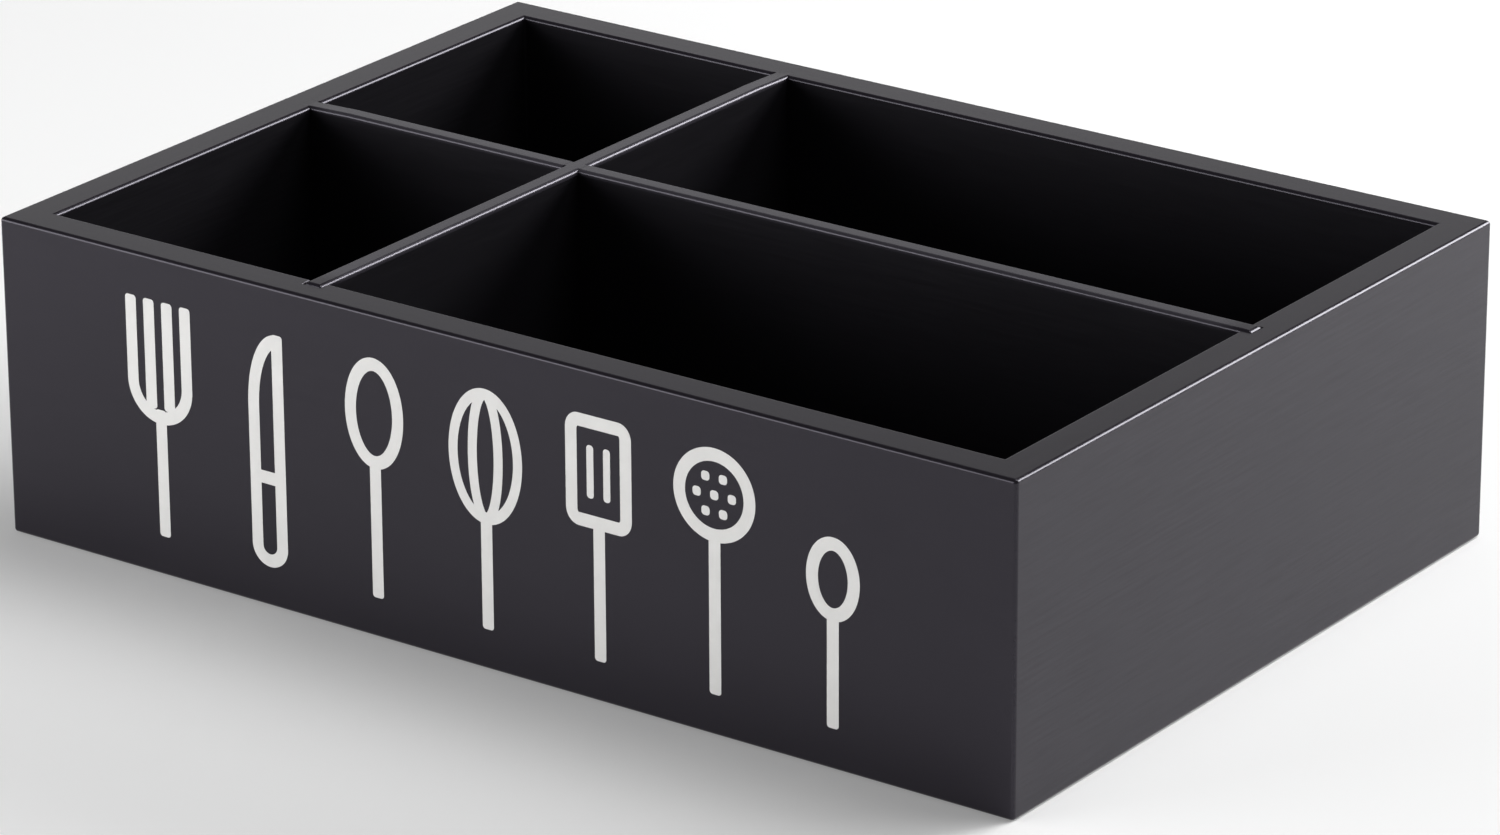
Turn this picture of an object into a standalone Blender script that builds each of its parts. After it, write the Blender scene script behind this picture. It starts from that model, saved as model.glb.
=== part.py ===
"""Open countertop utensil caddy: a mitred board box with a grooved-in base and two crossing dividers.

Metres, +Z up. The origin is the middle of the underside, and the front face looks towards -Y.
The four walls are mitred at the corners and eased all round after glue-up. The base floats in a
groove that runs round their inner faces. The dividers halve into each other where they cross, drop
into slots that are open at the rim, and lift out again.
"""

import math

import bmesh
import bpy

# Outer size of the box, without the dividers' proud tops.
LENGTH = 0.360
DEPTH = 0.250
HEIGHT = 0.100

# Wall boards and the small round that every sanded edge has.
WALL = 0.012
EDGE_ROUND = 0.0008
GLUE_LINE = 0.0001

# Base board, its height above the table and the groove that holds its edges.
BASE_THICKNESS = 0.005
BASE_LIFT = 0.005
GROOVE_DEPTH = 0.005
GROOVE_GAP = 0.0003

# Dividers: middle planes from the box's left and front faces, and how they sit in the walls.
DIVIDER = 0.006
CROSS_FROM_LEFT = 0.112
LONG_FROM_FRONT = 0.133
DIVIDER_PROUD = 0.0005
SLOT_DEPTH = 0.0045
SLOT_END_GAP = 0.0005
SLIP_GAP = 0.0003

# Facets in a quarter turn of a rounded edge, and how far a cutter runs past what it opens.
ROUND_STEPS = 4
CUT_MARGIN = 0.001

# Satin black lacquer: linear colours of the outer walls, the base and the dividers.
PAINT_WALLS = (0.026, 0.025, 0.028, 1.0)
PAINT_BASE = (0.017, 0.017, 0.019, 1.0)
PAINT_DIVIDERS = (0.030, 0.029, 0.032, 1.0)
PAINT_ROUGHNESS = 0.42

# Heights that several pieces share.
BASE_TOP = BASE_LIFT + GROOVE_GAP + BASE_THICKNESS
GROOVE_TOP = BASE_TOP + GROOVE_GAP
DIVIDER_BOTTOM = BASE_TOP + SLIP_GAP
DIVIDER_HEIGHT = HEIGHT + DIVIDER_PROUD - DIVIDER_BOTTOM

# The dividers' middle planes in the part's own frame.
CROSS_X = CROSS_FROM_LEFT - LENGTH / 2
LONG_Y = LONG_FROM_FRONT - DEPTH / 2


def clear_scene():
    """Remove whatever the scene holds."""
    for obj in list(bpy.data.objects):
        bpy.data.objects.remove(obj, do_unlink=True)


def painted(name, colour):
    """A satin lacquer of this colour."""
    material = bpy.data.materials.new(name)
    material.use_nodes = True
    shader = material.node_tree.nodes["Principled BSDF"]
    shader.inputs["Base Color"].default_value = colour
    shader.inputs["Roughness"].default_value = PAINT_ROUGHNESS
    shader.inputs["Metallic"].default_value = 0.0
    return material


def object_from(name, mesh_data, material=None):
    """A new object in the scene that holds this bmesh, which is freed."""
    bmesh.ops.recalc_face_normals(mesh_data, faces=mesh_data.faces)
    mesh = bpy.data.meshes.new(name)
    mesh_data.to_mesh(mesh)
    mesh_data.free()
    if material:
        mesh.materials.append(material)
    obj = bpy.data.objects.new(name, mesh)
    bpy.context.scene.collection.objects.link(obj)
    return obj


def box_mesh(low, high):
    """A closed box between two corners."""
    mesh_data = bmesh.new()
    bmesh.ops.create_cube(mesh_data, size=1.0)
    for vert in mesh_data.verts:
        for axis in range(3):
            middle = (low[axis] + high[axis]) / 2
            vert.co[axis] = middle + vert.co[axis] * (high[axis] - low[axis])
    return mesh_data


def cut(target, name, low, high):
    """Cut a box, given in the target's own coordinates, out of the target."""
    cutter = object_from(name, box_mesh(low, high))
    cutter.parent = target
    cutter.hide_render = True
    cutter.display_type = "WIRE"
    modifier = target.modifiers.new(name, "BOOLEAN")
    modifier.operation = "DIFFERENCE"
    modifier.solver = "EXACT"
    modifier.object = cutter


def arc(centre, radius, start, turn=math.pi / 2):
    """Points along an arc, from the angle start through turn."""
    angles = [start + turn * step / ROUND_STEPS for step in range(ROUND_STEPS + 1)]
    return [(centre[0] + radius * math.cos(a), centre[1] + radius * math.sin(a)) for a in angles]


def wall_profile():
    """The wall board's section as (distance in from the outer face, height), with the base groove."""
    r = min(EDGE_ROUND, WALL / 4)
    groove_floor = WALL - GROOVE_DEPTH
    outer_bottom = arc((r, r), r, -math.pi / 2, -math.pi / 2)
    outer_top = arc((r, HEIGHT - r), r, math.pi, -math.pi / 2)
    inner_top = arc((WALL - r, HEIGHT - r), r, math.pi / 2, -math.pi / 2)
    groove = [(WALL, GROOVE_TOP), (groove_floor, GROOVE_TOP), (groove_floor, BASE_LIFT), (WALL, BASE_LIFT)]
    inner_bottom = arc((WALL - r, r), r, 0.0, -math.pi / 2)
    return outer_bottom + outer_top + inner_top + groove + inner_bottom


def half_corner(inset):
    """Half of the box corner's plan, up to the mitre, for a profile point this far in.

    The points are (distance short of the outer corner along the wall, distance in). Past the
    corner's round they all fall on the mitre itself.
    """
    r = min(EDGE_ROUND, WALL / 4)
    if inset >= r:
        return [(inset, inset)] * (ROUND_STEPS + 1)
    angles = [math.pi / 4 * step / ROUND_STEPS for step in range(ROUND_STEPS + 1)]
    reach = r - inset
    return [(r - reach * math.sin(a), r - reach * math.cos(a)) for a in angles]


def wall_panel(name, length, place, turn, material):
    """One mitred wall. Its own X runs along the wall and its own Y into the box."""
    half = length / 2 - GLUE_LINE / 2
    rings = []
    for inset, height in wall_profile():
        right = [(half - short, y, height) for short, y in half_corner(inset)]
        left = [(-x, y, z) for x, y, z in reversed(right)]
        rings.append(left + right)

    mesh_data = bmesh.new()
    rows = [[mesh_data.verts.new(point) for point in ring] for ring in rings]
    for row, following in zip(rows, rows[1:] + rows[:1]):
        for k in range(len(row) - 1):
            mesh_data.faces.new((row[k], row[k + 1], following[k + 1], following[k]))
    mesh_data.faces.new([row[0] for row in rows])
    mesh_data.faces.new([row[-1] for row in reversed(rows)])
    bmesh.ops.remove_doubles(mesh_data, verts=mesh_data.verts, dist=1e-7)

    panel = object_from(name, mesh_data, material)
    panel.location = place
    panel.rotation_euler = (0.0, 0.0, turn)
    return panel


def cut_slot(panel, along):
    """Cut the slot that a divider's end drops into, at this place along the wall."""
    half_width = DIVIDER / 2 + SLIP_GAP
    cut(
        panel,
        panel.name + "_slot",
        (along - half_width, WALL - SLOT_DEPTH, GROOVE_TOP - CUT_MARGIN),
        (along + half_width, WALL + CUT_MARGIN, HEIGHT + CUT_MARGIN),
    )


def build_walls(parent):
    """The four walls, each with its slot."""
    quarter = math.pi / 2
    walls = (
        ("front_panel", LENGTH, (0.0, -DEPTH / 2, 0.0), 0.0, CROSS_X),
        ("right_panel", DEPTH, (LENGTH / 2, 0.0, 0.0), quarter, LONG_Y),
        ("back_panel", LENGTH, (0.0, DEPTH / 2, 0.0), 2 * quarter, -CROSS_X),
        ("left_panel", DEPTH, (-LENGTH / 2, 0.0, 0.0), -quarter, -LONG_Y),
    )
    for name, length, place, turn, slot_at in walls:
        panel = wall_panel(name, length, place, turn, painted(name + "_lacquer", PAINT_WALLS))
        panel.parent = parent
        cut_slot(panel, slot_at)


def eased_board(name, size, material):
    """A board with every edge eased, centred on its own X and Y and standing on its own Z = 0."""
    half_x = size[0] / 2
    half_y = size[1] / 2
    mesh_data = box_mesh((-half_x, -half_y, 0.0), (half_x, half_y, size[2]))
    bmesh.ops.bevel(
        mesh_data,
        geom=list(mesh_data.edges),
        offset=min(EDGE_ROUND, min(size) / 4),
        offset_type="OFFSET",
        segments=ROUND_STEPS,
        profile=0.5,
        affect="EDGES",
    )
    return object_from(name, mesh_data, material)


def build_base(parent):
    """The base board, sawn square, which reaches into the groove on all four sides."""
    half_x = LENGTH / 2 - WALL + GROOVE_DEPTH - GROOVE_GAP
    half_y = DEPTH / 2 - WALL + GROOVE_DEPTH - GROOVE_GAP
    board = box_mesh((-half_x, -half_y, 0.0), (half_x, half_y, BASE_THICKNESS))
    base = object_from("base_panel", board, painted("base_panel_lacquer", PAINT_BASE))
    base.location = (0.0, 0.0, BASE_LIFT + GROOVE_GAP)
    base.parent = parent


def build_dividers(parent):
    """The two dividers. Each one's origin is on the line along which it lifts out."""
    reach = SLOT_DEPTH - SLOT_END_GAP - WALL
    half_notch = DIVIDER / 2 + SLIP_GAP
    lap = DIVIDER_HEIGHT / 2

    long_size = (LENGTH + 2 * reach, DIVIDER, DIVIDER_HEIGHT)
    long_lacquer = painted("long_divider_lacquer", PAINT_DIVIDERS)
    long_divider = eased_board("long_divider", long_size, long_lacquer)
    long_divider.location = (0.0, LONG_Y, DIVIDER_BOTTOM)
    long_divider.parent = parent
    cut(
        long_divider,
        "long_divider_notch",
        (CROSS_X - half_notch, -DIVIDER, lap - SLIP_GAP / 2),
        (CROSS_X + half_notch, DIVIDER, DIVIDER_HEIGHT + CUT_MARGIN),
    )

    # The cross divider hangs on the long one, because its notch sits over the other's lower half.
    cross_size = (DIVIDER, DEPTH + 2 * reach, DIVIDER_HEIGHT)
    cross_lacquer = painted("cross_divider_lacquer", PAINT_DIVIDERS)
    cross_divider = eased_board("cross_divider", cross_size, cross_lacquer)
    cross_divider.location = (CROSS_X, -LONG_Y, 0.0)
    cross_divider.parent = long_divider
    cut(
        cross_divider,
        "cross_divider_notch",
        (-DIVIDER, LONG_Y - half_notch, -CUT_MARGIN),
        (DIVIDER, LONG_Y + half_notch, lap + SLIP_GAP / 2),
    )


def main():
    clear_scene()
    caddy = bpy.data.objects.new("utensil_caddy", None)
    bpy.context.scene.collection.objects.link(caddy)
    build_walls(caddy)
    build_base(caddy)
    build_dividers(caddy)
    bpy.context.view_layer.update()


main()
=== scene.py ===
"""Dresses the countertop utensil caddy: eased, lacquered boards, a printed row of utensils, a pale studio.

Metres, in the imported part's own frame: +Z is up and the front face looks towards -Y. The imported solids
give every outer size. This file adds what they only rough in: the sanded rounds, the lacquer and the print.
"""

import math

import bmesh
import bpy
from bpy.props import FloatProperty, FloatVectorProperty, IntProperty, PointerProperty
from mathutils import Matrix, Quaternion, Vector
from mathutils.bvhtree import BVHTree
from mathutils.geometry import delaunay_2d_cdt


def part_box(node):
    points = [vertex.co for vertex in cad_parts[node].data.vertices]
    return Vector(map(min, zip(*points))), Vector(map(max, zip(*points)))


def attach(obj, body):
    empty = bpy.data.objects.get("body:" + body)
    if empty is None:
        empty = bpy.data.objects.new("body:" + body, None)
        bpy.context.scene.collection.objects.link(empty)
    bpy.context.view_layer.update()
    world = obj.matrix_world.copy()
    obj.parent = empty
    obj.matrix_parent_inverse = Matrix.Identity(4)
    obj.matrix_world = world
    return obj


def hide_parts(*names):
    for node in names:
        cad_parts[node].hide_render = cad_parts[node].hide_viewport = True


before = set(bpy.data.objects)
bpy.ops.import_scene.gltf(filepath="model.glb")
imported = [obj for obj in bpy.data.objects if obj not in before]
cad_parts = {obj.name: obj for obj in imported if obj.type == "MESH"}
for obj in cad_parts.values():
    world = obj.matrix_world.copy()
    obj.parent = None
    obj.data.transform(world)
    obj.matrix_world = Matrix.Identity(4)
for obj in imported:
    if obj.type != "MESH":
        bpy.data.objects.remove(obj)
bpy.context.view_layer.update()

bl_info = {
    "name": "Utensil caddy",
    "version": (1, 0, 0),
    "blender": (4, 5, 0),
    "location": "3D View > Sidebar > Caddy",
    "description": "Builds a lacquered utensil caddy with lift-out dividers",
    "category": "Object",
}

MM = 0.001

WALLS = ("front_panel", "right_panel", "back_panel", "left_panel")


def reach(nodes):
    """The lowest and highest corners that these nodes reach together."""
    boxes = [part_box(name) for name in nodes]
    low = Vector([min(box[0][axis] for box in boxes) for axis in range(3)])
    high = Vector([max(box[1][axis] for box in boxes) for axis in range(3)])
    return low, high


# Places taken from the solids.
OUTER_LOW, OUTER_HIGH = reach(WALLS)
FRONT_LOW, FRONT_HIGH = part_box("front_panel")
WALL = FRONT_HIGH[1] - FRONT_LOW[1]
BASE_LOW, BASE_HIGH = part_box("base_panel")
LONG_LOW, LONG_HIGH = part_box("long_divider")
CROSS_LOW, CROSS_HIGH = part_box("cross_divider")
BOARD = LONG_HIGH[1] - LONG_LOW[1]
LONG_Y = (LONG_LOW[1] + LONG_HIGH[1]) / 2
CROSS_X = (CROSS_LOW[0] + CROSS_HIGH[0]) / 2

# Fits that the solids have and a box can't tell: the base in its groove, a divider's end in its slot,
# and the two notches' floors at the crossing.
GROOVE_GAP = 0.3 * MM
SLOT_END_GAP = 0.5 * MM
LAP_GAP = 0.3 * MM

# How far a cutter runs past what it opens, and how far a bead's back sinks into the walls.
CUT_MARGIN = 1.0 * MM
SUNK = 0.05 * MM

# Vertices nearer than this are one, places nearer than this are level, and this near is on a cut.
MERGE = 1e-7
FLAT = 1e-5
ON_CUT = 1e-6

# The print's outlines are worked out in mm, where points nearer than this are one.
PRINT_MERGE = 1e-4

# Edges flatter than the first angle aren't rounded, and those flatter than the second are shaded smoothly.
FLAT_EDGE = math.radians(1)
SHARP_EDGE = math.radians(30)

# The share of the full round on the dividers' edges that the walls and the base hide.
HIDDEN_SHARE = 0.4

# How far below the rim the thinner, duller film and its painted shade start, and how far from the walls the
# painted sheen on the dividers' tops fades.
RIM_FILM = 1.2 * MM
SHEEN_FADE = 8.0 * MM

# The values that a noise texture mostly keeps to.
NOISE_LOW, NOISE_HIGH = 0.3, 0.7

# The floor's half width, how far it lies below the caddy, and its own share of white.
FLOOR_HALF = 5.0
FLOOR_DROP = 0.2 * MM
FLOOR_GLOW = 0.12

# The studio's walls dim to this share of their brightness up to this height on the unit sphere.
DIM_SHARE = 1 / 3
DIM_HEIGHT = 0.8

# Each softbox: what its brightness is called, azimuth and elevation in degrees, distance, width, height.
SOFTBOXES = {
    "fill_softbox": ("fill", 316, 15, 1.3, 1.2, 0.5),
    "rear_softbox": ("rear", 150, 12, 3.0, 4.2, 1.2),
    "top_softbox": ("top", 140, 66, 2.5, 1.5, 1.5),
    "key_softbox": ("key", 150, 25, 2.0, 0.95, 0.7),
    "low_strip": ("strip", 218, 17, 2.0, 1.5, 0.5),
}
SENSOR_WIDTH = 36.0

# Every sum in a node tree, of shaders or geometry, is a node of this kind.
MATH = "ShaderNodeMath"

# A mix node's colours go by number, because its floats have the same names: two inputs and their mix.
MIX_A, MIX_B, MIXED = 6, 7, 2


def linear(hex_colour):
    """An sRGB hex colour as the linear red, green and blue that Blender's sockets take."""
    values = [int(hex_colour[k : k + 2], 16) / 255 for k in (1, 3, 5)]
    return tuple(v / 12.92 if v <= 0.04045 else ((v + 0.055) / 1.055) ** 2.4 for v in values)


class CaddyBoards(bpy.types.PropertyGroup):
    """How the boards are eased and how closely they fit."""

    edge_round: FloatProperty(
        name="Edge round",
        description="Radius that sanding gives the boards' long edges",
        default=1.2 * MM, min=0.2 * MM, max=2.5 * MM, precision=5, unit="LENGTH",
    )
    slot_round: FloatProperty(
        name="Slot mouth round",
        description="Radius on the mouth of the front slot, which the divider has rubbed",
        default=0.35 * MM, min=0.05 * MM, max=0.8 * MM, precision=5, unit="LENGTH",
    )
    slot_slack: FloatProperty(
        name="Slot slack",
        description="Clear gap on each side of a divider in its slot and in the crossing",
        default=0.12 * MM, min=0.02 * MM, max=0.3 * MM, precision=5, unit="LENGTH",
    )
    front_slot_play: FloatProperty(
        name="Front slot play",
        description="How much wider the front slot is on its left than the others",
        default=0.45 * MM, min=0.0, max=1.0 * MM, precision=5, unit="LENGTH",
    )
    far_play: FloatProperty(
        name="Far play",
        description="Play on each side of a divider's far end, which lacquer has all but filled",
        default=0.03 * MM, min=0.01 * MM, max=0.3 * MM, precision=6, unit="LENGTH",
    )
    planed: FloatProperty(
        name="Planed run",
        description="Length over which a divider's top comes down to the rim before its far end",
        default=16.0 * MM, min=5.0 * MM, max=40.0 * MM, precision=4, unit="LENGTH",
    )
    round_steps: IntProperty(
        name="Round steps",
        description="Facets in a quarter turn of a rounded edge, an even number",
        default=12, min=2, max=24,
    )
    bead: FloatProperty(
        name="Corner bead",
        description="Radius of the lacquer that gathers in the box's inner corners",
        default=0.9 * MM, min=0.2 * MM, max=2.0 * MM, precision=5, unit="LENGTH",
    )


class CaddyPrint(bpy.types.PropertyGroup):
    """The printed row of utensils on the front."""

    stroke: FloatProperty(
        name="Stroke",
        description="Width of the main strokes",
        default=4.0 * MM, min=1.0 * MM, max=5.0 * MM, precision=4, unit="LENGTH",
    )
    end_round: FloatProperty(
        name="Stroke end round",
        description="Radius on the corners of a stroke's squared end",
        default=1.0 * MM, min=0.2 * MM, max=2.0 * MM, precision=4, unit="LENGTH",
    )
    pitch: FloatProperty(
        name="Pitch",
        description="Distance from the middle of one utensil to the next",
        default=40.0 * MM, min=30.0 * MM, max=44.0 * MM, precision=4, unit="LENGTH",
    )
    baseline: FloatProperty(
        name="Baseline",
        description="Height of the utensils' lower ends above the table",
        default=12.5 * MM, min=4.0 * MM, max=20.0 * MM, precision=4, unit="LENGTH",
    )
    film: FloatProperty(
        name="Ink film",
        description="Thickness of the ink, which stands on the lacquer",
        default=0.05 * MM, min=0.01 * MM, max=0.3 * MM, precision=6, unit="LENGTH",
    )
    ink: FloatVectorProperty(
        name="Ink",
        description="Colour of the print",
        default=linear("#F7F6F4"), size=3, min=0.0, max=1.0, subtype="COLOR",
    )


class CaddyLacquer(bpy.types.PropertyGroup):
    """The lacquer on the boards."""

    outer: FloatVectorProperty(
        name="Outer lacquer",
        description="Colour of the outer faces and the rim",
        default=linear("#1C191F"), size=3, min=0.0, max=1.0, subtype="COLOR",
    )
    # Painted shade: this darker colour inside the box stands in for the shade that falls there.
    inner: FloatVectorProperty(
        name="Inner lacquer",
        description="Colour inside the box, where less spray reaches",
        default=linear("#161518"), size=3, min=0.0, max=1.0, subtype="COLOR",
    )
    # Painted sheen: the dividers' tops take this paler colour in place of the light that their rounds
    # catch.
    top_sheen: FloatVectorProperty(
        name="Rubbed tops",
        description="Colour of the dividers' top edges, which lifting them out has rubbed",
        default=linear("#37353B"), size=3, min=0.0, max=1.0, subtype="COLOR",
    )
    roughness: FloatProperty(
        name="Roughness",
        description="Satin of the outer faces",
        default=0.25, min=0.05, max=1.0, subtype="FACTOR",
    )
    inner_roughness: FloatProperty(
        name="Inner roughness",
        description="Duller satin inside the box",
        default=0.34, min=0.05, max=1.0, subtype="FACTOR",
    )
    figure: FloatProperty(
        name="Figure",
        description="How far the grain changes the sheen of the end walls, and a quarter as far elsewhere",
        default=0.06, min=0.0, max=0.4, subtype="FACTOR",
    )
    grain_depth: FloatProperty(
        name="Grain depth",
        description="Depth of the board's grain where it shows through the lacquer",
        default=0.0015 * MM, min=0.0, max=0.1 * MM, precision=6, unit="LENGTH",
    )


class CaddyStage(bpy.types.PropertyGroup):
    """The floor, the lamps and the camera."""

    azimuth: FloatProperty(
        name="Azimuth",
        description="The camera's turn round the caddy from the front towards the right",
        default=math.radians(35.906), subtype="ANGLE",
    )
    elevation: FloatProperty(
        name="Elevation",
        description="The camera's height above the table as an angle",
        default=math.radians(21.466), subtype="ANGLE",
    )
    roll: FloatProperty(
        name="Roll",
        description="The camera's turn about its own axis",
        default=math.radians(-0.258), subtype="ANGLE",
    )
    distance: FloatProperty(
        name="Distance",
        description="From the camera to the point it looks at",
        default=2.1053, min=0.5, max=10.0, unit="LENGTH",
    )
    lens: FloatProperty(
        name="Lens",
        description="Focal length on a 36 mm wide sensor, in millimetres",
        default=170.6, min=20.0, max=400.0, unit="CAMERA",
    )
    aim: FloatVectorProperty(
        name="Aim",
        description="The point that the camera looks at",
        default=(0.00374, -0.00266, 0.03894), size=3, subtype="TRANSLATION", unit="LENGTH",
    )
    floor: FloatVectorProperty(
        name="Floor",
        description="Colour of the floor",
        default=linear("#F9F9F9"), size=3, min=0.0, max=1.0, subtype="COLOR",
    )
    fill: FloatProperty(
        name="Fill softbox",
        description="Brightness of the softbox close by on the front left, where 1 shows as white",
        default=5.0, min=0.0, max=50.0,
    )
    rear: FloatProperty(
        name="Rear softbox",
        description="Brightness of the wide, distant softbox behind the caddy on the right",
        default=0.6, min=0.0, max=50.0,
    )
    top: FloatProperty(
        name="Top softbox",
        description="Brightness of the softbox high over the caddy's back",
        default=4.6, min=0.0, max=50.0,
    )
    key: FloatProperty(
        name="Key softbox",
        description="Brightness of the small softbox behind the caddy on the right, which picks out edges",
        default=15.5, min=0.0, max=200.0,
    )
    strip: FloatProperty(
        name="Low strip",
        description="Brightness of the long softbox behind the caddy on the left, which the rim mirrors",
        default=0.5, min=0.0, max=200.0,
    )
    ambient: FloatProperty(
        name="Ambient",
        description="Brightness of the studio's walls near the floor",
        default=0.32, min=0.0, max=2.0,
    )


def add(tree, kind, inputs=(), **settings):
    """Add one node with its settings.

    Its inputs are given by name or in their order, and each takes a value, an output, or a node for that
    node's first output.
    """
    made = tree.nodes.new(kind)
    for name, value in settings.items():
        setattr(made, name, value)
    for name, value in inputs.items() if isinstance(inputs, dict) else enumerate(inputs):
        if isinstance(value, bpy.types.Node):
            value = value.outputs[0]
        if isinstance(value, bpy.types.NodeSocket):
            tree.links.new(value, made.inputs[name])
        else:
            made.inputs[name].default_value = value
    return made


def plain_material(name):
    """A new material with an empty tree."""
    material = bpy.data.materials.new(name)
    material.use_nodes = True
    material.node_tree.nodes.clear()
    return material


def shade(material, shader):
    """Make this shader the material's surface."""
    add(material.node_tree, "ShaderNodeOutputMaterial", {"Surface": shader})
    return material


def spread(noise, low, high):
    """The inputs of a map range that takes a noise's usual values to low and high."""
    return {"Value": noise, "From Min": NOISE_LOW, "From Max": NOISE_HIGH, "To Min": low, "To Max": high}


def satin_lacquer(name, along, figured=0.25, sheened=False):
    """Black satin nitrocellulose lacquer, sprayed on sanded soft board whose grain runs along this axis.

    To the eye it is a dark, slightly violet film with a broad soft sheen. The grain only just shows through
    as long faint streaks, the spray leaves a very fine orange peel, and inside the box the film is thinner
    and duller, and its colour there is made darker as painted shade. figured is the board's share of the
    streaks' strength, and sheened is for a board whose top is coloured paler between the walls as a
    painted sheen.
    """
    lacquer = bpy.context.scene.caddy_lacquer
    material = plain_material(name)
    tree = material.node_tree
    place = add(tree, "ShaderNodeTexCoord").outputs["Object"]

    # Streaks 25 mm long and 1 mm wide, a little coarser than the board's own, so that they show.
    scale = [1 / (1.0 * MM)] * 3
    scale[along] = 1 / (25 * MM)
    streaks = add(tree, "ShaderNodeTexNoise", {
        "Vector": add(tree, "ShaderNodeMapping", {"Vector": place, "Scale": scale}),
        "Scale": 1.0, "Detail": 3.0, "Roughness": 0.6, "Distortion": 0.3,
    })

    # Sanding marks 14 mm long and 0.4 mm wide, as 240 grit leaves on soft board.
    scale = [1 / (0.4 * MM)] * 3
    scale[along] = 1 / (14 * MM)
    scratches = add(tree, "ShaderNodeTexNoise", {
        "Vector": add(tree, "ShaderNodeMapping", {"Vector": place, "Scale": scale}),
        "Scale": 1.0, "Detail": 2.0, "Roughness": 0.5,
    })

    # Spray passes, over which the film's thickness drifts in about 60 mm, and orange peel 1.1 mm across.
    clouds = add(tree, "ShaderNodeTexNoise", {
        "Vector": place, "Scale": 1 / (60 * MM), "Detail": 2.0, "Roughness": 0.5,
    })
    peel = add(tree, "ShaderNodeTexNoise", {
        "Vector": place, "Scale": 1 / (1.1 * MM), "Detail": 1.0, "Roughness": 0.4,
    })

    # One inside the box and nought on the outer faces and the rim, and one between the walls at any height,
    # which fades near them.
    parts = add(tree, "ShaderNodeSeparateXYZ", {"Vector": place})

    def within(axis, inset, fade=FLAT):
        """One where the place is further in on this axis than the inset, and nought past it."""
        middle = (OUTER_LOW[axis] + OUTER_HIGH[axis]) / 2
        edge = (OUTER_HIGH[axis] - OUTER_LOW[axis]) / 2 - inset
        away = add(tree, MATH, [parts.outputs[axis], middle], operation="SUBTRACT")
        away = add(tree, MATH, [away], operation="ABSOLUTE")
        return add(tree, "ShaderNodeMapRange", {
            "Value": away, "From Min": edge - fade, "From Max": edge, "To Min": 1.0, "To Max": 0.0,
        })

    inside = add(tree, MATH, [within(0, WALL / 2), within(1, WALL / 2)], operation="MULTIPLY")
    inside = add(tree, MATH, [inside, within(2, RIM_FILM)], operation="MULTIPLY")
    between = add(tree, MATH, [within(0, WALL, SHEEN_FADE), within(1, WALL, SHEEN_FADE)], operation="MULTIPLY")

    # Painted sheen: on the dividers the colour turns paler at their tops between the walls, fading near
    # them.
    top_sheen = lacquer.top_sheen if sheened else lacquer.outer
    tones = {"Factor": between, MIX_A: (*lacquer.outer, 1.0), MIX_B: (*top_sheen, 1.0)}
    outside = add(tree, "ShaderNodeMix", tones, data_type="RGBA").outputs[MIXED]
    # Painted shade: below the rim, everything inside the box takes the darker inner colour.
    tones = {"Factor": inside, MIX_A: outside, MIX_B: (*lacquer.inner, 1.0)}
    colour = add(tree, "ShaderNodeMix", tones, data_type="RGBA").outputs[MIXED]
    drift = add(tree, "ShaderNodeMapRange", spread(clouds, 0.93, 1.07))
    lines = add(tree, "ShaderNodeMapRange", spread(streaks, 0.95, 1.05))
    drift = add(tree, MATH, [drift, lines], operation="MULTIPLY")
    colour = add(tree, "ShaderNodeVectorMath", {"Vector": colour, "Scale": drift}, operation="SCALE")

    sheens = {"Factor": inside, "A": lacquer.roughness, "B": lacquer.inner_roughness}
    dullness = add(tree, "ShaderNodeMix", sheens, data_type="FLOAT")
    wear = add(tree, "ShaderNodeMapRange", spread(streaks, -0.02, 0.02))
    dullness = add(tree, MATH, [dullness, wear], operation="ADD")

    # The grain, and on it the finer sanding marks and peel, at a share of the grain's depth.
    grain = {}
    for height, share in ((streaks, 1), (scratches, 1 / 6), (peel, 1 / 8)):
        grain = {"Height": height, "Strength": 1.0, "Distance": lacquer.grain_depth * share, **grain}
        grain = {"Normal": add(tree, "ShaderNodeBump", grain)}

    # The film sinks into the open grain, so its sheen comes and goes along the streaks.
    swing = lacquer.figure * figured
    sheen = add(tree, "ShaderNodeMapRange", spread(streaks, 0.5 - swing, 0.5 + swing))

    return shade(material, add(tree, "ShaderNodeBsdfPrincipled", {
        "Base Color": colour, "Roughness": dullness, "IOR": 1.47, **grain,
        "Specular IOR Level": sheen, "Specular Tint": (*linear("#F3EEFF"), 1.0),
    }))


def printing_ink(name, ink):
    """Off-white pad-printing ink on the lacquer.

    To the eye it is a flat, nearly matt white whose cover is a touch thinner in small patches.
    """
    material = plain_material(name)
    tree = material.node_tree
    place = add(tree, "ShaderNodeTexCoord").outputs["Object"]
    # Cover drifts over about 9 mm and speckles over about 0.5 mm.
    cover = add(tree, "ShaderNodeTexNoise", {
        "Vector": place, "Scale": 1 / (9 * MM), "Detail": 4.0, "Roughness": 0.6,
    })
    speckle = add(tree, "ShaderNodeTexNoise", {"Vector": place, "Scale": 1 / (0.5 * MM), "Detail": 1.0})
    thin = add(tree, "ShaderNodeMapRange", spread(cover, 0.95, 1.0))
    colour = add(tree, "ShaderNodeVectorMath", {"Vector": ink, "Scale": thin}, operation="SCALE")
    tooth = add(tree, "ShaderNodeBump", {"Height": speckle, "Strength": 1.0, "Distance": 0.002 * MM})
    return shade(material, add(tree, "ShaderNodeBsdfPrincipled", {
        "Base Color": colour, "Roughness": 0.55, "Normal": tooth, "IOR": 1.48,
    }))


def object_from(name, data):
    """A new object in the scene for this mesh, lamp or camera."""
    obj = bpy.data.objects.new(name, data)
    bpy.context.scene.collection.objects.link(obj)
    return obj


def mesh_from(name, mesh_data):
    """A mesh from this bmesh, with its faces turned outwards. The bmesh is freed."""
    bmesh.ops.remove_doubles(mesh_data, verts=mesh_data.verts, dist=MERGE)
    bmesh.ops.recalc_face_normals(mesh_data, faces=mesh_data.faces)
    mesh = bpy.data.meshes.new(name)
    mesh_data.to_mesh(mesh)
    mesh_data.free()
    return mesh


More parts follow.
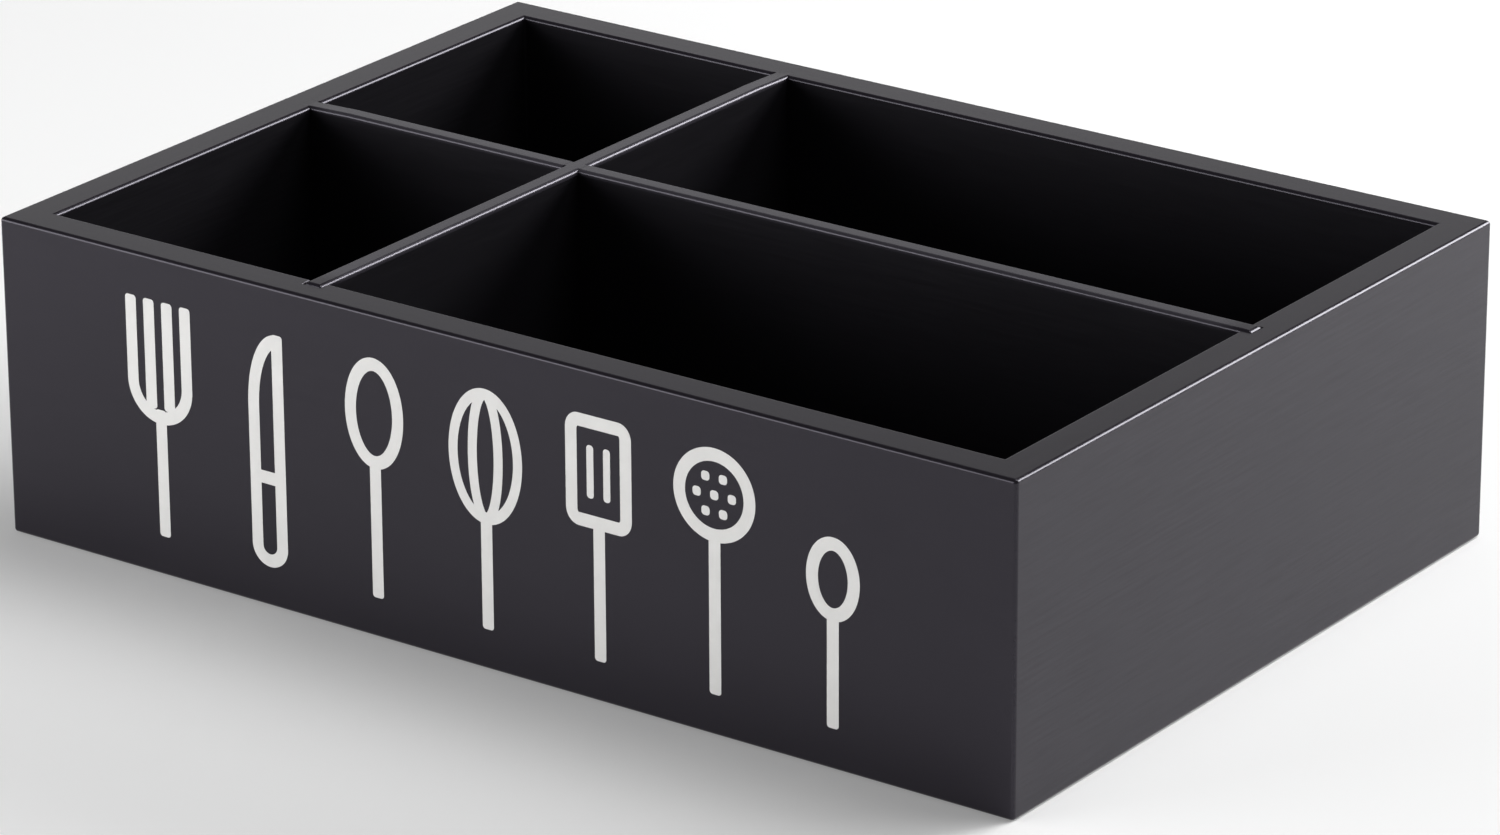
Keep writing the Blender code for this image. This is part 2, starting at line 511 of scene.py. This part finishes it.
def settled(obj):
    """The object's mesh with its modifiers applied. The object itself is removed."""
    depsgraph = bpy.context.evaluated_depsgraph_get()
    mesh = bpy.data.meshes.new_from_object(obj.evaluated_get(depsgraph), depsgraph=depsgraph)
    bpy.data.objects.remove(obj, do_unlink=True)
    return mesh


def block(low, high):
    """A closed box mesh between two corners."""
    mesh_data = bmesh.new()
    bmesh.ops.create_cube(mesh_data, size=1.0)
    for vert in mesh_data.verts:
        for axis in range(3):
            middle = (low[axis] + high[axis]) / 2
            vert.co[axis] = middle + vert.co[axis] * (high[axis] - low[axis])
    return mesh_from("block", mesh_data)


def carved(mesh, blocks, operation="DIFFERENCE"):
    """This mesh with the blocks, each given by two corners, cut out of it or joined to it."""
    body = object_from("carved", mesh)
    tools = []
    for low, high in blocks:
        tool = object_from("tool", block(low, high))
        cut = body.modifiers.new("cut", "BOOLEAN")
        cut.operation = operation
        cut.solver = "EXACT"
        cut.object = tool
        tools.append(tool)
    mesh = settled(body)
    for tool in tools:
        bpy.data.objects.remove(tool, do_unlink=True)
    return mesh


def eased(mesh, radius, steps, share_of):
    """This mesh with rounded edges. share_of gives each edge's share of the radius from its two ends."""
    mesh_data = bmesh.new()
    mesh_data.from_mesh(mesh)
    bmesh.ops.remove_doubles(mesh_data, verts=mesh_data.verts, dist=MERGE)
    layer = mesh_data.edges.layers.float.new("bevel_weight_edge")
    for edge in mesh_data.edges:
        if edge.calc_face_angle(0.0) > FLAT_EDGE:
            edge[layer] = share_of(edge.verts[0].co, edge.verts[1].co)
    mesh_data.to_mesh(mesh)
    mesh_data.free()
    body = object_from("eased", mesh)
    bevel = body.modifiers.new("ease", "BEVEL")
    bevel.limit_method = "WEIGHT"
    bevel.offset_type = "OFFSET"
    bevel.width = radius
    bevel.segments = steps
    bevel.use_clamp_overlap = False
    return settled(body)


def finished(name, mesh, material, body, slot, *nodes):
    """A piece with this material that rides on a body. Flats stay flat and rounds shade smoothly."""
    mesh.materials.clear()
    mesh.materials.append(material)
    mesh.shade_smooth()
    mesh.set_sharp_from_angle(angle=SHARP_EDGE)
    draft = object_from("draft", mesh)
    weighted = draft.modifiers.new("flats", "WEIGHTED_NORMAL")
    weighted.keep_sharp = True
    piece = object_from(name, settled(draft))
    piece.data.name = name
    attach(piece, body)
    if nodes:
        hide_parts(*nodes)
    return piece


def level(a, b, axis, *values):
    """True if both points have one of these values on this axis."""
    return any(abs(a[axis] - value) < FLAT and abs(b[axis] - value) < FLAT for value in values)


def plan(low, high, inset=0.0):
    """The corners in plan of what lies this far within two corners, counted round from the front left."""
    xs = (low.x + inset, high.x - inset)
    ys = (low.y + inset, high.y - inset)
    return (xs[0], ys[0]), (xs[1], ys[0]), (xs[1], ys[1]), (xs[0], ys[1])


class CADDY_OT_walls(bpy.types.Operator):
    """Build the four mitred walls, rounded together as sanding after glue-up does, and then parted"""

    bl_idname = "caddy.walls"
    bl_label = "Walls"

    def execute(self, context):
        boards = context.scene.caddy_boards
        film = context.scene.caddy_print.film
        low = OUTER_LOW + Vector((0.0, film, 0.0))
        high = OUTER_HIGH.copy()
        inner_low = low + Vector((WALL, WALL, 0.0))
        inner_high = high - Vector((WALL, WALL, 0.0))
        groove_low = BASE_LOW[2] - GROOVE_GAP
        groove_high = BASE_HIGH[2] + GROOVE_GAP
        groove_floor = BASE_LOW[0] - OUTER_LOW[0] - GROOVE_GAP

        section = (
            (0.0, low.z), (0.0, high.z), (WALL, high.z), (WALL, groove_high), (groove_floor, groove_high),
            (groove_floor, groove_low), (WALL, groove_low), (WALL, low.z),
        )
        ring = bmesh.new()
        rows = []
        for inset, z in section:
            rows.append([ring.verts.new((x, y, z)) for x, y in plan(low, high, inset)])
        for row, following in zip(rows, rows[1:] + rows[:1]):
            for k in range(4):
                ring.faces.new((row[k], row[k - 3], following[k - 3], following[k]))

        # The slots, each from just inside the groove's top up through the rim.
        half = BOARD / 2 + boards.slot_slack
        far_half = BOARD / 2 + boards.far_play
        floor = groove_high - CUT_MARGIN
        above = high.z + CUT_MARGIN
        left = (
            (LONG_LOW[0] - boards.far_play, LONG_Y - far_half, floor),
            (inner_low.x + CUT_MARGIN, LONG_Y + far_half, above),
        )
        right = (
            (inner_high.x - CUT_MARGIN, LONG_Y - half, floor),
            (LONG_HIGH[0] + SLOT_END_GAP, LONG_Y + half, above),
        )
        back = (
            (CROSS_X - far_half, inner_high.y - CUT_MARGIN, floor),
            (CROSS_X + far_half, CROSS_HIGH[1] + boards.far_play, above),
        )
        front = (
            (CROSS_X - half - boards.front_slot_play, CROSS_LOW[1] - SLOT_END_GAP, floor),
            (CROSS_X + half, inner_low.y + CUT_MARGIN, above),
        )

        def share_of(a, b):
            """Full rounds on the outer corners, the rim and the bottom, a small one on the front slot."""
            outer_x = level(a, b, 0, low.x, high.x)
            outer_y = level(a, b, 1, low.y, high.y)
            inner_x = level(a, b, 0, inner_low.x, inner_high.x)
            inner_y = level(a, b, 1, inner_low.y, inner_high.y)
            end = level(a, b, 2, high.z, low.z)
            if (outer_x and outer_y) or (end and (outer_x or outer_y or inner_x or inner_y)):
                return 1.0
            in_front = max(a.y, b.y) < inner_low.y + FLAT and min(a.y, b.y) > low.y + FLAT
            mouth = level(a, b, 0, front[0][0], front[1][0])
            if in_front and mouth and (level(a, b, 2, high.z) or inner_y):
                return boards.slot_round / boards.edge_round
            return 0.0

        mesh = carved(mesh_from("ring", ring), (left, right, back, front))
        mesh = eased(mesh, boards.edge_round, boards.round_steps, share_of)

        # Each wall keeps what lies between its two mitres, which run in from the outer corners.
        lacquers = (
            satin_lacquer("black_satin_lacquer_on_long_walls", 0),
            satin_lacquer("black_satin_lacquer_on_end_walls", 1, figured=1.0),
        )
        corners = [Vector((x, y, 0.0)) for x, y in plan(low, high)]
        for k, name in enumerate(WALLS):
            along = (corners[k - 3] - corners[k]).normalized()
            inward = Vector((-along.y, along.x, 0.0))
            wall = bmesh.new()
            wall.from_mesh(mesh)
            for corner, side in ((corners[k], along), (corners[k - 3], -along)):
                cut = bmesh.ops.bisect_plane(
                    wall, geom=wall.verts[:] + wall.edges[:] + wall.faces[:], dist=ON_CUT,
                    plane_co=corner, plane_no=side - inward, clear_inner=True,
                )["geom_cut"]
                rim = [item for item in cut if isinstance(item, bmesh.types.BMEdge)]
                bmesh.ops.contextual_create(wall, geom=rim)
            finished(name + "_dressed", mesh_from(name, wall), lacquers[k % 2], "box", "wall_paint", name)
        bpy.data.meshes.remove(mesh)
        return {"FINISHED"}


class CADDY_OT_base(bpy.types.Operator):
    """Lacquer the base board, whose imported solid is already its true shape"""

    bl_idname = "caddy.base"
    bl_label = "Base"

    def execute(self, context):
        lacquer = satin_lacquer("black_satin_lacquer_on_base", 0)
        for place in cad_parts["base_panel"].material_slots:
            place.material = lacquer
        return {"FINISHED"}


class CADDY_OT_dividers(bpy.types.Operator):
    """Build the two dividers, which halve into each other where they cross"""

    bl_idname = "caddy.dividers"
    bl_label = "Dividers"

    def board(self, boards, outline, across, low, high, end):
        """A board with this outline across one axis, rounded along its top and at its near end."""
        along = 1 - across

        def share_of(a, b):
            """Full rounds on the top's long edges and near end, and less on what the rest hides."""
            at_end = level(a, b, along, end)
            if min(a.z, b.z) > OUTER_HIGH.z - FLAT:
                return 1.0 if at_end or level(a, b, across, low[across], high[across]) else 0.0
            return HIDDEN_SHARE if at_end or level(a, b, 2, low[2]) else 0.0

        mesh_data = bmesh.new()
        near, far = (
            [mesh_data.verts.new((u, depth, z) if across == 1 else (depth, u, z)) for u, z in outline]
            for depth in (low[across], high[across])
        )
        mesh_data.faces.new(near)
        mesh_data.faces.new(far)
        for k in range(len(outline)):
            mesh_data.faces.new((near[k], near[k - 1], far[k - 1], far[k]))
        return eased(mesh_from("board", mesh_data), boards.edge_round, boards.round_steps, share_of)

    def execute(self, context):
        boards = context.scene.caddy_boards
        half = BOARD / 2 + boards.slot_slack
        bottom, top = LONG_LOW[2], LONG_HIGH[2]
        lap = (bottom + top) / 2
        rim = OUTER_HIGH.z

        notch = (CROSS_X - half, CROSS_X + half)
        flush = OUTER_LOW.x + WALL - boards.edge_round
        outline = (
            (LONG_LOW[0], bottom), (LONG_HIGH[0], bottom), (LONG_HIGH[0], top), (notch[1], top),
            (notch[1], lap - LAP_GAP / 2), (notch[0], lap - LAP_GAP / 2), (notch[0], top),
            (flush + boards.planed, top), (flush, rim), (LONG_LOW[0], rim),
        )
        mesh = self.board(boards, outline, 1, LONG_LOW, LONG_HIGH, LONG_HIGH[0])
        # Its far end fills the slot square, so that it is level with the rim.
        mesh = carved(mesh, [((LONG_LOW[0], LONG_LOW[1], lap), (flush, LONG_HIGH[1], rim))], "UNION")
        # Its top is coloured paler between the walls, a painted sheen.
        lacquer = satin_lacquer("black_satin_lacquer_on_long_divider", 0, sheened=True)
        finished("long_divider_dressed", mesh, lacquer, "long_divider", "divider_paint", "long_divider")

        notch = (LONG_Y - half, LONG_Y + half)
        flush = OUTER_HIGH.y - WALL + boards.edge_round
        outline = (
            (CROSS_LOW[1], bottom), (notch[0], bottom), (notch[0], lap + LAP_GAP / 2),
            (notch[1], lap + LAP_GAP / 2), (notch[1], bottom), (CROSS_HIGH[1], bottom),
            (CROSS_HIGH[1], rim), (flush, rim), (flush - boards.planed, top), (CROSS_LOW[1], top),
        )
        mesh = self.board(boards, outline, 0, CROSS_LOW, CROSS_HIGH, CROSS_LOW[1])
        # It fills its far slot in the same way, and the other's top between its rounds.
        flat = (LONG_LOW[1] + boards.edge_round, LONG_HIGH[1] - boards.edge_round)
        mesh = carved(mesh, [
            ((CROSS_LOW[0], flush, lap), (CROSS_HIGH[0], CROSS_HIGH[1], rim)),
            ((CROSS_LOW[0], flat[0], lap + LAP_GAP), (CROSS_HIGH[0], flat[1], top)),
        ], "UNION")
        # Its top is coloured paler between the walls, a painted sheen.
        lacquer = satin_lacquer("black_satin_lacquer_on_cross_divider", 1, sheened=True)
        finished("cross_divider_dressed", mesh, lacquer, "cross_divider", "divider_paint", "cross_divider")
        return {"FINISHED"}


def nodes_group(name, sizes):
    """A Geometry Nodes tree with a geometry input, these named sizes, a material and a geometry output."""
    tree = bpy.data.node_groups.new(name, "GeometryNodeTree")
    tree.interface.new_socket("Geometry", in_out="INPUT", socket_type="NodeSocketGeometry")
    for size in sizes:
        tree.interface.new_socket(size, in_out="INPUT", socket_type="NodeSocketFloat")
    tree.interface.new_socket("Material", in_out="INPUT", socket_type="NodeSocketMaterial")
    tree.interface.new_socket("Geometry", in_out="OUTPUT", socket_type="NodeSocketGeometry")
    return tree, add(tree, "NodeGroupInput").outputs


def close_group(tree, given, geometry):
    """End the tree in real faces with their material."""
    real = add(tree, "GeometryNodeRealizeInstances", {"Geometry": geometry})
    painted = add(tree, "GeometryNodeSetMaterial", {"Geometry": real, "Material": given["Material"]})
    add(tree, "NodeGroupOutput", {"Geometry": painted})


def grown(name, mesh, tree, values):
    """The plain mesh that the tree makes from this one with these values for its named inputs."""
    seed = object_from(name, mesh)
    modifier = seed.modifiers.new(name, "NODES")
    modifier.node_group = tree
    for item in tree.interface.items_tree:
        if item.in_out == "INPUT" and item.name in values:
            modifier[item.identifier] = values[item.name]
    return settled(seed)


class CADDY_OT_beads(bpy.types.Operator):
    """Run a bead of gathered lacquer up each of the box's four inner corners"""

    bl_idname = "caddy.beads"
    bl_label = "Corner beads"

    def tree(self):
        """Sweeps the section up a straight line and sets one such bead in each corner."""
        tree, given = nodes_group("corner_beads", ("Bottom", "Top", "Half length", "Half depth", "Middle"))
        start = add(tree, "ShaderNodeCombineXYZ", {"Z": given["Bottom"]})
        end = add(tree, "ShaderNodeCombineXYZ", {"Z": given["Top"]})
        line = add(tree, "GeometryNodeCurvePrimitiveLine", {"Start": start, "End": end})
        section = add(tree, "GeometryNodeMeshToCurve", {"Mesh": given["Geometry"]})
        bead = add(tree, "GeometryNodeCurveToMesh", {
            "Curve": line, "Profile Curve": section, "Fill Caps": True,
        })

        # One point in each corner. The section is drawn for the corner at 225 degrees about the middle, so
        # a bead turns by its own corner's angle and 135 degrees more.
        length = add(tree, MATH, [given["Half length"], 2.0], operation="MULTIPLY")
        depth = add(tree, MATH, [given["Half depth"], 2.0], operation="MULTIPLY")
        grid = add(tree, "GeometryNodeMeshGrid", {
            "Size X": length, "Size Y": depth, "Vertices X": 2, "Vertices Y": 2,
        })
        corner = add(tree, "ShaderNodeSeparateXYZ", [add(tree, "GeometryNodeInputPosition")]).outputs
        side_x = add(tree, MATH, [corner["X"]], operation="SIGN")
        side_y = add(tree, MATH, [corner["Y"]], operation="SIGN")
        turn = add(tree, MATH, [side_y, side_x], operation="ARCTAN2")
        turn = add(tree, MATH, [turn, math.radians(135)], operation="ADD")
        spin = add(tree, "FunctionNodeAxisAngleToRotation", {"Axis": (0.0, 0.0, 1.0), "Angle": turn})
        beads = add(tree, "GeometryNodeInstanceOnPoints", {
            "Points": grid, "Instance": bead, "Rotation": spin,
        })
        shift = add(tree, "ShaderNodeCombineXYZ", {"Y": given["Middle"]})
        close_group(tree, given, add(tree, "GeometryNodeTransform", {
            "Geometry": beads, "Translation": shift,
        }))
        return tree

    def execute(self, context):
        boards = context.scene.caddy_boards
        film = context.scene.caddy_print.film
        radius = boards.bead
        section = bmesh.new()
        points = [(-SUNK, -SUNK), (radius, -SUNK)]
        for step in range(boards.round_steps + 1):
            angle = math.pi / 2 * step / boards.round_steps
            points.append((radius - radius * math.sin(angle), radius - radius * math.cos(angle)))
        points.append((-SUNK, radius))
        verts = [section.verts.new((x, y, 0.0)) for x, y in points]
        for k in range(len(verts)):
            section.edges.new((verts[k - 1], verts[k]))
        outline = bpy.data.meshes.new("bead_section")
        section.to_mesh(outline)
        section.free()

        lacquer = satin_lacquer("black_satin_lacquer_in_corners", 2)
        swept = grown("beads", outline, self.tree(), {
            "Bottom": BASE_HIGH[2] + GROOVE_GAP,
            "Top": OUTER_HIGH.z - boards.edge_round,
            "Half length": (OUTER_HIGH.x - OUTER_LOW.x) / 2 - WALL,
            "Half depth": (OUTER_HIGH.y - OUTER_LOW.y - film) / 2 - WALL,
            "Middle": (OUTER_HIGH.y + OUTER_LOW.y + film) / 2,
            "Material": lacquer,
        })
        beads = bmesh.new()
        beads.from_mesh(swept)
        bpy.data.meshes.remove(swept)
        finished("corner_beads", mesh_from("corner_beads", beads), lacquer, "box", "wall_paint")
        return {"FINISHED"}


def straight(start, end, round_end, steps=5):
    """A straight centre line in mm, with points close together where its ends round off."""
    start, end = Vector(start), Vector(end)
    length = (end - start).length
    near = [round_end * (1 - math.cos(math.pi / 2 * k / steps)) for k in range(steps + 1)]
    marks = near + [length - mark for mark in reversed(near)]
    return [start.lerp(end, mark / length) for mark in marks]


def bow(middle, half_width, half_height, start, stop, steps):
    """Points in mm along part of an ellipse, between two angles in degrees."""
    x, z = middle
    angles = [math.radians(start + (stop - start) * k / steps) for k in range(steps + 1)]
    return [Vector((x + half_width * math.cos(a), z + half_height * math.sin(a))) for a in angles]


class CADDY_OT_print(bpy.types.Operator):
    """Print an evenly spaced row of seven upright utensils on the front"""

    bl_idname = "caddy.print"
    bl_label = "Printed utensils"

    def utensils(self, end_round):
        """Each utensil's strokes: a centre line in mm, whether it closes and its share of the width."""

        def stick(x, low, high, share=1.0):
            return (straight((x, low), (x, high), end_round), False, share)

        fork = [
            (
                straight((-10.2, 74), (-10.2, 49), end_round)[:-1]
                + bow((0, 48), 10.2, 10.5, 180, 360, 40)
                + straight((10.2, 49), (10.2, 74), end_round)[1:],
                False, 1.0,
            ),
            stick(-3.4, 40, 74), stick(3.4, 40, 74), stick(0, 0, 40),
        ]
        knife = [
            (
                [Vector((6.6 - 0.2 * k, 71.0)) for k in range(10)]
                + bow((4.6, 50), 9.2, 21, 90, 180, 40)
                + bow((0, 6.6), 4.6, 4.6, 180, 360, 32)
                + straight((4.6, 8), (4.6, 73), end_round)[1:],
                False, 1.0,
            ),
            (straight((-4.6, 28), (4.6, 28), end_round), False, 1.0),
        ]
        spoon = [(bow((0, 57), 8.6, 15, 0, 360, 72)[:-1], True, 1.0), stick(0, 0, 43)]
        whisk = [
            (bow((0, 53), 11.5, 19, 0, 360, 80)[:-1], True, 0.8),
            (bow((0, 53), 4.6, 19, 0, 360, 80)[:-1], True, 0.8),
            stick(0, 0, 36),
        ]
        head = (
            bow((7, 69), 2.5, 3, 0, 90, 8) + bow((-7, 69), 2.5, 3, 90, 180, 8)
            + bow((-7, 45), 2.5, 3, 180, 270, 8) + bow((7, 45), 2.5, 3, 270, 360, 8)
        )
        turner = [(head, True, 1.0), stick(-2.9, 49, 65, 0.6), stick(2.9, 49, 65, 0.6), stick(0, 0, 42)]
        skimmer = [(bow((0, 60), 12, 12, 0, 360, 72)[:-1], True, 1.0), stick(0, 0, 48)]
        ring = [math.radians(60 * k) for k in range(6)]
        holes = [(0.0, 60.0)] + [(6 * math.cos(a), 60 + 6 * math.sin(a)) for a in ring]
        skimmer += [stick(x, z - 1.4, z + 1.4, 0.7) for x, z in holes]
        teaspoon = [(bow((0, 44.5), 7, 10.5, 0, 360, 64)[:-1], True, 1.0), stick(0, 0, 35)]
        return fork, knife, spoon, whisk, turner, skimmer, teaspoon

    def tree(self):
        """Gives every centre line its width, rounds its ends off, and stands the utensils in a row."""
        sizes = ("Stroke", "End round", "Pitch", "First", "Baseline", "Front")
        tree, given = nodes_group("printed_strokes", sizes)
        lines = add(tree, "GeometryNodeMeshToCurve", {"Mesh": given["Geometry"]})
        share = add(tree, "GeometryNodeInputNamedAttribute", {"Name": "share"}, data_type="FLOAT")
        order = add(tree, "GeometryNodeInputNamedAttribute", {"Name": "order"}, data_type="FLOAT")

        # Within a radius of an open stroke's ends, it is narrower by what the rounded corners lose.
        width = add(tree, MATH, [given["Stroke"], share], operation="MULTIPLY")
        radius = add(tree, MATH, [width, 0.5], operation="MULTIPLY")
        radius = add(tree, MATH, [given["End round"], radius], operation="MINIMUM")
        along = add(tree, "GeometryNodeSplineParameter").outputs["Length"]
        length = add(tree, "GeometryNodeSplineLength").outputs["Length"]
        left = add(tree, MATH, [length, along], operation="SUBTRACT")
        near = add(tree, MATH, [along, left], operation="MINIMUM")
        near = add(tree, MATH, [near, radius], operation="MINIMUM")
        drop = add(tree, MATH, [radius, near], operation="SUBTRACT")
        drop = add(tree, MATH, [drop, drop], operation="MULTIPLY")
        square = add(tree, MATH, [radius, radius], operation="MULTIPLY")
        square = add(tree, MATH, [square, drop], operation="SUBTRACT")
        square = add(tree, MATH, [square], operation="SQRT")
        loss = add(tree, MATH, [radius, square], operation="SUBTRACT")
        loss = add(tree, MATH, [loss, 2.0], operation="MULTIPLY")
        rounded = add(tree, MATH, [width, loss], operation="SUBTRACT")
        closed = add(tree, "GeometryNodeInputSplineCyclic")
        choice = {"Switch": closed, "False": rounded, "True": width}
        width = add(tree, "GeometryNodeSwitch", choice, input_type="FLOAT")

        nib = {"Start": (-0.5, 0.0, 0.0), "End": (0.5, 0.0, 0.0)}
        nib = add(tree, "GeometryNodeCurvePrimitiveLine", nib)
        flat = add(tree, "GeometryNodeSetCurveNormal", {"Curve": lines}, mode="Z_UP")
        strokes = add(tree, "GeometryNodeCurveToMesh", {
            "Curve": flat, "Profile Curve": nib, "Scale": width,
        })

        across = add(tree, MATH, [order, given["Pitch"]], operation="MULTIPLY")
        across = add(tree, MATH, [across, given["First"]], operation="ADD")
        step = add(tree, "ShaderNodeCombineXYZ", {"X": across, "Y": given["Baseline"]})
        row = add(tree, "GeometryNodeSetPosition", {"Geometry": strokes, "Offset": step})
        front = add(tree, "ShaderNodeCombineXYZ", {"Y": given["Front"]})
        close_group(tree, given, add(tree, "GeometryNodeTransform", {
            "Geometry": row, "Translation": front, "Rotation": (math.radians(90), 0.0, 0.0),
        }))
        return tree

    def centre_lines(self, utensils):
        """A mesh of loose edges along the strokes' middles, marked with their order and width."""
        lines = bmesh.new()
        order_of = lines.verts.layers.float.new("order")
        share_of = lines.verts.layers.float.new("share")
        for order, strokes in enumerate(utensils):
            for points, closed, share in strokes:
                verts = []
                for point in points:
                    vert = lines.verts.new((point.x * MM, point.y * MM, 0.0))
                    vert[order_of] = order
                    vert[share_of] = share
                    verts.append(vert)
                for k in range(0 if closed else 1, len(verts)):
                    lines.edges.new((verts[k - 1], verts[k]))
        mesh = bpy.data.meshes.new("centre_lines")
        lines.to_mesh(mesh)
        lines.free()
        return mesh

    def merged(self, strokes, front, back):
        """One closed film with the outline that the overlapping strokes share."""
        points = [Vector((vert.co.x, vert.co.z)) / MM for vert in strokes.vertices]
        edges = [tuple(edge.vertices) for edge in strokes.edges]
        points, _, triangles, _, _, _ = delaunay_2d_cdt(points, edges, [], 0, PRINT_MERGE)
        inked = BVHTree.FromPolygons(
            [vert.co for vert in strokes.vertices], [polygon.vertices for polygon in strokes.polygons]
        )
        aside = Vector((0.0, back - front, 0.0))
        film = bmesh.new()
        near, far = (
            [film.verts.new((point.x * MM, depth, point.y * MM)) for point in points]
            for depth in (front, back)
        )
        sides = []
        for ring in triangles:
            middle = sum((near[k].co for k in ring), Vector()) / len(ring)
            if inked.ray_cast(middle - aside, aside, 2 * aside.length)[0]:
                film.faces.new([near[k] for k in ring])
                film.faces.new([far[k] for k in ring])
                sides += [(ring[k - 1], ring[k]) for k in range(len(ring))]
        # A side that no other triangle has is on the outline. Extruding orders these faces anew each run.
        shared = set(sides)
        for a, b in sides:
            if (b, a) not in shared:
                film.faces.new((near[a], near[b], far[b], far[a]))
        loose = [vert for vert in film.verts if not vert.link_faces]
        bmesh.ops.delete(film, geom=loose, context="VERTS")
        return mesh_from("utensil_print", film)

    def execute(self, context):
        row = context.scene.caddy_print
        utensils = self.utensils(row.end_round / MM)
        ink = printing_ink("off_white_printing_ink", row.ink)
        strokes = grown("strokes", self.centre_lines(utensils), self.tree(), {
            "Stroke": row.stroke,
            "End round": row.end_round,
            "Pitch": row.pitch,
            "First": -row.pitch * (len(utensils) - 1) / 2,
            "Baseline": row.baseline,
            "Front": OUTER_LOW.y,
            "Material": ink,
        })
        mesh = self.merged(strokes, OUTER_LOW.y, OUTER_LOW.y + row.film)
        bpy.data.meshes.remove(strokes)
        finished("utensil_print", mesh, ink, "box", "print_white")
        return {"FINISHED"}


def way(azimuth, elevation):
    """The way from the caddy to what stands at this azimuth, counted from the front towards the right."""
    flat = math.cos(elevation)
    return Vector((math.sin(azimuth) * flat, -math.cos(azimuth) * flat, math.sin(elevation)))


class CADDY_OT_stage(bpy.types.Operator):
    """Set the pale floor, the softboxes, the backdrop and the camera"""

    bl_idname = "caddy.stage"
    bl_label = "Stage"

    def floor(self, colour):
        """A matt white floor. It shows the caddy's shadow and clears to white away from it."""
        ground = bmesh.new()
        bmesh.ops.create_grid(ground, x_segments=1, y_segments=1, size=FLOOR_HALF)
        for vert in ground.verts:
            vert.co.z = -FLOOR_DROP
        material = plain_material("matt_white_floor")
        tree = material.node_tree
        paint = add(tree, "ShaderNodeBsdfDiffuse", {"Color": (*colour, 1.0)})
        ray = add(tree, "ShaderNodeLightPath").outputs
        seen = add(tree, MATH, [ray["Is Camera Ray"], ray["Is Glossy Ray"]], operation="MAXIMUM")
        seen = add(tree, MATH, [seen, ray["Is Transmission Ray"]], operation="MAXIMUM")
        share = add(tree, MATH, [seen, FLOOR_GLOW], operation="MULTIPLY")
        white = add(tree, "ShaderNodeEmission", {"Strength": 1.0})
        shade(material, add(tree, "ShaderNodeMixShader", [share, paint, white]))
        mesh = mesh_from("floor", ground)
        mesh.materials.append(material)
        floor = object_from("floor", mesh)

    def backdrop(self, ambient):
        """The studio's walls, which dim towards the ceiling."""
        world = bpy.data.worlds.new("studio")
        bpy.context.scene.world = world
        world.use_nodes = True
        tree = world.node_tree
        tree.nodes.clear()
        outwards = add(tree, "ShaderNodeTexCoord").outputs["Generated"]
        height = add(tree, "ShaderNodeSeparateXYZ", [outwards]).outputs["Z"]
        strength = add(tree, "ShaderNodeMapRange", {
            "Value": height, "From Min": 0.0, "From Max": DIM_HEIGHT,
            "To Min": ambient, "To Max": ambient * DIM_SHARE,
        })
        light = add(tree, "ShaderNodeBackground", {"Strength": strength})
        add(tree, "ShaderNodeOutputWorld", {"Surface": light})

    def softbox(self, name, azimuth, elevation, distance, width, height, brightness):
        """A rectangular softbox aimed at the caddy. A brightness of one shows as white."""
        back = way(math.radians(azimuth), math.radians(elevation))
        lamp = bpy.data.lights.new(name, "AREA")
        lamp.shape = "RECTANGLE"
        lamp.size, lamp.size_y = width, height
        lamp.energy = brightness * math.pi * width * height
        place = object_from(name, lamp)
        place.location = back * distance
        place.rotation_euler = back.to_track_quat("Z", "Y").to_euler()
        place.visible_camera = False

    def camera(self, stage):
        """The photograph's viewpoint."""
        back = way(stage.azimuth, stage.elevation)
        lens = bpy.data.cameras.new("camera")
        lens.sensor_width = SENSOR_WIDTH
        lens.lens = stage.lens
        camera = object_from("camera", lens)
        camera.location = Vector(stage.aim) + back * stage.distance
        turn = back.to_track_quat("Z", "Y") @ Quaternion((0.0, 0.0, 1.0), stage.roll)
        camera.rotation_euler = turn.to_euler()
        bpy.context.scene.camera = camera

    def execute(self, context):
        stage = context.scene.caddy_stage
        self.floor(stage.floor)
        self.backdrop(stage.ambient)
        for name, (brightness, *place) in SOFTBOXES.items():
            self.softbox(name, *place, getattr(stage, brightness))
        self.camera(stage)
        context.scene.view_settings.view_transform = "Standard"
        return {"FINISHED"}


STEPS = (
    CADDY_OT_walls, CADDY_OT_base, CADDY_OT_dividers, CADDY_OT_beads, CADDY_OT_print, CADDY_OT_stage,
)
GROUPS = {
    "caddy_boards": CaddyBoards,
    "caddy_print": CaddyPrint,
    "caddy_lacquer": CaddyLacquer,
    "caddy_stage": CaddyStage,
}


class CADDY_PT_panel(bpy.types.Panel):
    """Lists the caddy's steps and sizes in the sidebar"""

    bl_idname = "CADDY_PT_panel"
    bl_label = "Utensil caddy"
    bl_space_type = "VIEW_3D"
    bl_region_type = "UI"
    bl_category = "Caddy"

    def draw(self, context):
        for name, group in GROUPS.items():
            box = self.layout.box()
            for key in group.__annotations__:
                box.prop(getattr(context.scene, name), key)
        for step in STEPS:
            self.layout.operator(step.bl_idname)


def register():
    for name, group in GROUPS.items():
        bpy.utils.register_class(group)
        setattr(bpy.types.Scene, name, PointerProperty(type=group))
    for step in STEPS:
        bpy.utils.register_class(step)
    bpy.utils.register_class(CADDY_PT_panel)


def unregister():
    bpy.utils.unregister_class(CADDY_PT_panel)
    for step in reversed(STEPS):
        bpy.utils.unregister_class(step)
    for name, group in reversed(GROUPS.items()):
        delattr(bpy.types.Scene, name)
        bpy.utils.unregister_class(group)


def main():
    register()
    bpy.ops.caddy.walls()
    bpy.ops.caddy.base()
    bpy.ops.caddy.dividers()
    bpy.ops.caddy.beads()
    bpy.ops.caddy.print()
    bpy.ops.caddy.stage()


if __name__ == "__main__":
    main()
